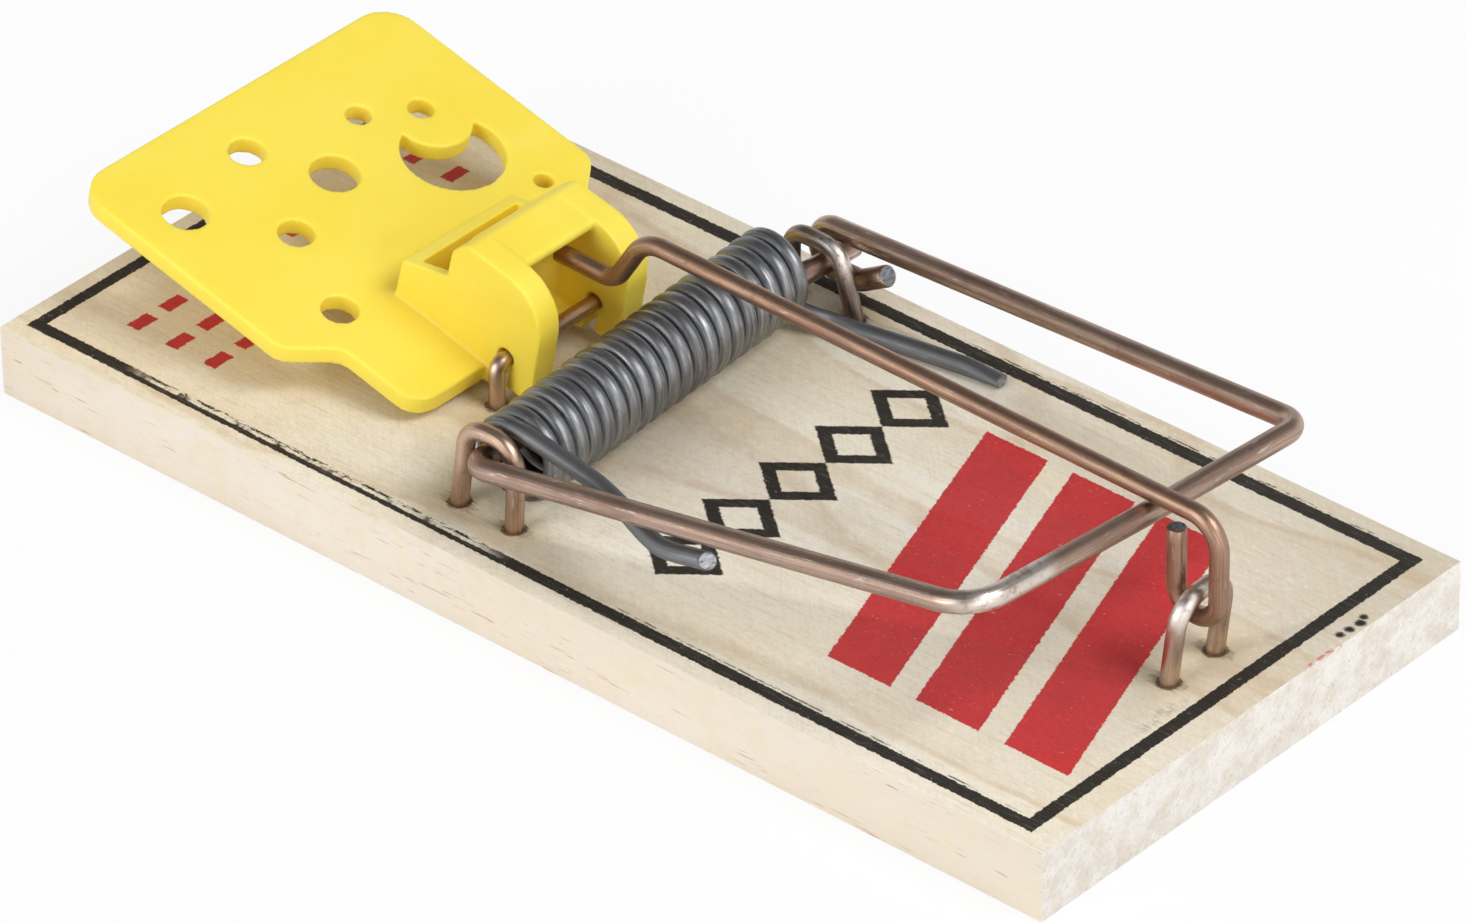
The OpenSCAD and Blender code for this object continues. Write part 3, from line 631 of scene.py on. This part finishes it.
def make_bar(skin, ends):
    """One wire: U hook in its staple, long run over the crossbar, jog down, and the tip under the lip."""
    pivot = Vector(joints["bar_swing"]["pos_m"]) * 1000
    trigger = Vector(joints["pedal_tilt"]["pos_m"]) * 1000
    tilt, yaw, jog_slope = math.radians(14.7), math.radians(1), math.radians(57)
    hook, hook_top, jog, tip_x = 1.9, TOP + 11.55, -7.4, -15.95
    # the lip's underside in the pedal's own axes from its pivot, and the gap that is left under it
    lip_x, lip_z, lip_gap = 1.5, 5.9, 0.16
    tip_z = trigger.z + lip_x * math.sin(tilt) + lip_z * math.cos(tilt) - lip_gap - BAR_WIRE / 2
    turn_x = 40

    def at(x, z):
        """A point of the bar's upright plane, which is turned a little at turn_x, by the crossbar."""
        return mm(turn_x + (x - turn_x) * math.cos(yaw), CROSSBAR_Y - (x - turn_x) * math.sin(yaw), z)

    corners = [
        at(pivot.x - hook, hook_top),
        at(pivot.x - hook, pivot.z - hook),
        at(pivot.x + hook, pivot.z - hook),
        at(pivot.x + hook, BAR_Z),
        at(jog, BAR_Z),
        at(jog - (BAR_Z - tip_z) / math.tan(jog_slope), tip_z),
        at(tip_x, tip_z),
    ]
    radii = [0.0019, 0.0019, 0.0024, 0.0032, 0.0022]
    wire("bar_wire", rounded(corners, radii), BAR_WIRE / 1000, skin, ends,
         "hold_down_bar", "hold_down_bar", seed=2.0)


def make_staples(skin, far_skin, front_skin, ends):
    """The four staples; returns where their legs go into the wood."""
    depth, axle_gap = 4, 0.25
    foot = TOP - depth
    over = HAMMER_WIRE / 2 + axle_gap + STAPLE_WIRE / 2
    near_y, far_y = NEAR_STAPLE_Y, FAR_STAPLE_Y
    near, far = axle_at(near_y).z * 1000 + over, axle_at(far_y).z * 1000 + over
    bar_leg, bar_crown = BAR_STAPLE_X - 1.45, TOP + 6.95
    trigger_x, trigger_y, trigger_crown = -15, 6.7, TOP + 3.55
    # foot, crown, crown and foot; the radii of the two bends; the wire and its skin
    made = {
        "near_axle_staple": (
            [(-9.45, near_y, foot), (-7.75, near_y, near), (-3.1, near_y, near), (-3.9, near_y, foot)],
            [2, 2.1], STAPLE_WIRE, skin),
        "far_axle_staple": (
            [(-9.1, far_y, foot), (-8.95, far_y, far), (-4.5, far_y, far), (-1.8, far_y, foot)],
            [1.5, 1.9], STAPLE_WIRE, far_skin),
        "bar_staple": (
            [(bar_leg, -1.8, foot), (BAR_STAPLE_X, -1.8, bar_crown),
             (BAR_STAPLE_X, 3.2, bar_crown), (bar_leg, 3.2, foot)],
            [2.2, 2.2], STAPLE_WIRE, front_skin),
        "trigger_staple": (
            [(trigger_x, -trigger_y, foot), (trigger_x, -trigger_y, trigger_crown),
             (trigger_x, trigger_y, trigger_crown), (trigger_x, trigger_y, foot)],
            [0.95, 0.95], TRIGGER_WIRE, skin),
    }
    legs = []
    for seed, (node, (corners, radii, size, look)) in enumerate(made.items()):
        points = rounded([mm(*c) for c in corners], [r / 1000 for r in radii])
        wire(node + "_wire", points, size / 1000, look, ends, "base", node, seed=10.0 + seed)
        for low, high in ((corners[0], corners[1]), (corners[3], corners[2])):
            at_wood = Vector(low).lerp(Vector(high), (TOP - foot) / (high[2] - foot))
            legs.append((at_wood.x, at_wood.y))
    return legs


def run_length(points):
    """The length of a line through points."""
    return sum((b - a).length for a, b in zip(points, points[1:]))


def make_spring(ends):
    """One wire: a leg under the near arm, the coil round the axle, and a leg on the wood."""
    turns, pitch, start, radius, per_turn = 20.5, 1.455, -15.6, 2.85, 36
    # the coil hangs loosely: how far its middle lies from the axle's at its two ends
    near_shift, far_shift = Vector((0.9, 0, -0.9)), Vector((-0.75, 0, 1.0))
    coil = []
    for k in range(round(turns * per_turn) + 1):
        t = k / (turns * per_turn)
        y = start + t * turns * pitch
        middle = axle_at(y) * 1000 + near_shift.lerp(far_shift, t)
        a = math.radians(90) + 2 * math.pi * k / per_turn
        coil.append(mm(middle.x + radius * math.cos(a), y, middle.z + radius * math.sin(a)))
    # under is the height of the near leg's middle line where it lies under the arm
    corner, touch_x, arm_gap = axle_at(AXLE_NEAR_Y) * 1000, 9, 0.15
    arm_z = corner.z + (NEAR_CORNER[2] - corner.z) * (touch_x - corner.x) / (NEAR_CORNER[0] - corner.x)
    under = arm_z - HAMMER_WIRE / 2 - SPRING_WIRE / 2 - arm_gap
    near = [(15.9, -18.65, under + 0.5), (14.6, -18.8, under + 0.35), (13.2, -18.9, under + 0.1),
            (11.6, -18.75, under - 0.15), (10.2, -18.4, under - 0.15), (8.8, -17.95, under - 0.05),
            (7.4, -17.45, under + 0.05), (5.6, -16.85, under + 0.15), (3.6, -16.3, under + 0.2),
            (0.9, -15.9, under + 0.3), (-1.8, start - 0.05, under + 0.5),
            (-3.8, start, (coil[0].z * 1000 + under + 0.6) / 2 + 0.05)]
    # wood is the height of the far leg's middle line where it lies on the board
    board_gap = 0.03
    wood = TOP + SPRING_WIRE / 2 + board_gap
    last = coil[-1] * 1000
    far = [(last.x + 1.2, last.y + 0.2, last.z - 0.05), (last.x + 2.6, last.y + 0.6, last.z - 0.3),
           (-2.8, 15.6, wood + 0.35), (-1.4, 16.1, wood + 0.1), (0.2, 16.55, wood), (3, 17.1, wood),
           (6, 17.6, wood), (8.6, 18.05, wood), (10.9, 18.4, wood)]
    near_leg = smooth([mm(*q) for q in near] + coil[:1])
    far_leg = smooth(coil[-1:] + [mm(*q) for q in far])
    points = near_leg + coil[1:-1] + far_leg
    skin = drawn_wire("spring_steel", rgb(163, 165, 168), rgb(118, 119, 121), rgb(58, 58, 60),
                      rgb(200, 202, 205), 0.35, 0.33,
                      dull=(run_length(near_leg) - 0.001, run_length(points) - run_length(far_leg)))
    piece = wire("spring_wire", points, SPRING_WIRE / 1000, skin, ends,
                 None, "torsion_spring", seed=3.0,
                 sides=20, sway=0.0, shear=Vector((0, 0.5, -0.35)))
    # the far leg's end was pinched to a wedge when it was cut
    tip, pinched, flattened, past_coil_y = mm(*far[-1]), 0.003, 0.42, 0.016
    wood_z = (wood - SPRING_WIRE / 2) / 1000
    for vert in piece.data.vertices:
        share = (vert.co.x - tip.x + pinched) / pinched
        if share > 0 and vert.co.y > past_coil_y:
            vert.co.z = wood_z + (vert.co.z - wood_z) * (1 - flattened * share)
    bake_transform(piece)


def smooth(points, steps=5):
    """A Catmull-Rom line through points, with that many steps from one to the next."""
    found = [points[0]]
    for i in range(len(points) - 1):
        a, b = points[max(i - 1, 0)], points[i]
        c, d = points[i + 1], points[min(i + 2, len(points) - 1)]
        for k in range(1, steps + 1):
            t = k / steps
            square = (2 * a - 5 * b + 4 * c - d) * t * t
            cube = (3 * b - a - 3 * c + d) * t ** 3
            found.append(0.5 * (2 * b + (c - a) * t + square + cube))
    return found


# ---------------------------------------------------------------- board and pedal

def placed(name, mesh, node, body, skin):
    """A mesh as a piece in place of a CAD node."""
    mesh.materials.clear()
    mesh.materials.append(skin)
    for face in mesh.polygons:
        face.use_smooth = True
    piece = bpy.data.objects.new(name, mesh)
    bpy.context.scene.collection.objects.link(piece)
    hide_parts(node)
    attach(piece, body)
    return piece


def planed(name, node, body, skin, width, segments):
    """A CAD node's own shape with its flat faces joined and its sharp edges rounded."""
    bm = bmesh.new()
    bm.from_mesh(frame["nodes"][node].data)
    bmesh.ops.remove_doubles(bm, verts=bm.verts[:], dist=1e-7)
    bmesh.ops.dissolve_limit(bm, angle_limit=math.radians(1), verts=bm.verts[:], edges=bm.edges[:])
    mesh = bpy.data.meshes.new(name)
    bm.to_mesh(mesh)
    bm.free()
    piece = placed(name, mesh, node, body, skin)
    bevel = piece.modifiers.new("edges", "BEVEL")
    bevel.width, bevel.segments = width, segments
    bevel.limit_method, bevel.angle_limit = "ANGLE", math.radians(40)
    bevel.harden_normals = True


def moulded(name, node, body, skin, cell, rounds, kept):
    """A CAD node's own shape on a fine net, relaxed so that each edge gets a moulded radius.

    cell is the net's in mm, rounds how often it is relaxed, kept the share of its faces that stay."""
    mesh = frame["nodes"][node].data.copy()
    mesh.transform(Matrix.Scale(1000, 4))
    work = bpy.data.objects.new(name + "_work", mesh)
    bpy.context.scene.collection.objects.link(work)
    net = work.modifiers.new("net", "REMESH")
    net.mode, net.voxel_size = "VOXEL", cell
    relax = work.modifiers.new("relax", "SMOOTH")
    relax.factor, relax.iterations = 0.5, rounds
    thin = work.modifiers.new("thin", "DECIMATE")
    thin.ratio = kept
    made = bpy.data.meshes.new_from_object(work.evaluated_get(bpy.context.evaluated_depsgraph_get()))
    bpy.data.objects.remove(work)
    made.name = name
    made.transform(Matrix.Scale(0.001, 4))
    placed(name, made, node, body, skin)


# ---------------------------------------------------------------- the scene

make_camera()
make_studio()

# bright, middle and dark steel, its worn places and painted highlights, the share of dirt and the roughness
# the hammer's near corner and the bends of the far and front staples get a painted highlight with their
# wear
copper = drawn_wire("copper_wash", rgb(196, 172, 157), rgb(168, 139, 122), rgb(96, 71, 57),
                    rgb(226, 215, 207), 0.4, 0.27, rubbed_and_highlit=(0.085, 0.093))
copper_bar = drawn_wire("copper_wash_bar", rgb(184, 152, 132), rgb(158, 125, 104), rgb(96, 69, 53),
                        rgb(206, 182, 166), 0.35, 0.34)
far_wire = drawn_wire("staple_far", rgb(176, 160, 148), rgb(134, 116, 103), rgb(66, 51, 41),
                      rgb(226, 219, 212), 0.6, 0.28, rubbed_and_highlit=(0.0115, 0.0145))
near_wire = drawn_wire("staple_near", rgb(212, 186, 166), rgb(186, 156, 134), rgb(108, 80, 62),
                       rgb(228, 214, 202), 0.35, 0.27)
front_wire = drawn_wire("staple_front", rgb(212, 192, 180), rgb(184, 158, 144), rgb(106, 82, 69),
                        rgb(232, 224, 218), 0.35, 0.28, rubbed_and_highlit=(0.009, 0.012))
cut = cut_steel("cut_steel", rgb(150, 154, 160), rgb(84, 86, 92))
fresh_cut = cut_steel("cut_steel_fresh", rgb(190, 193, 199), rgb(112, 114, 120))

make_hammer(copper, cut)
make_bar(copper_bar, cut)
legs = make_staples(near_wire, far_wire, front_wire, cut)
make_spring(fresh_cut)
planed("pine_board", "base_board", "base", pine_print(legs), width=0.00016, segments=2)
moulded("pedal_moulding", "trigger_pedal", "trigger", moulded_yellow(),
        cell=0.13, rounds=4, kept=0.24)

bpy.context.scene.view_settings.view_transform = "Standard"
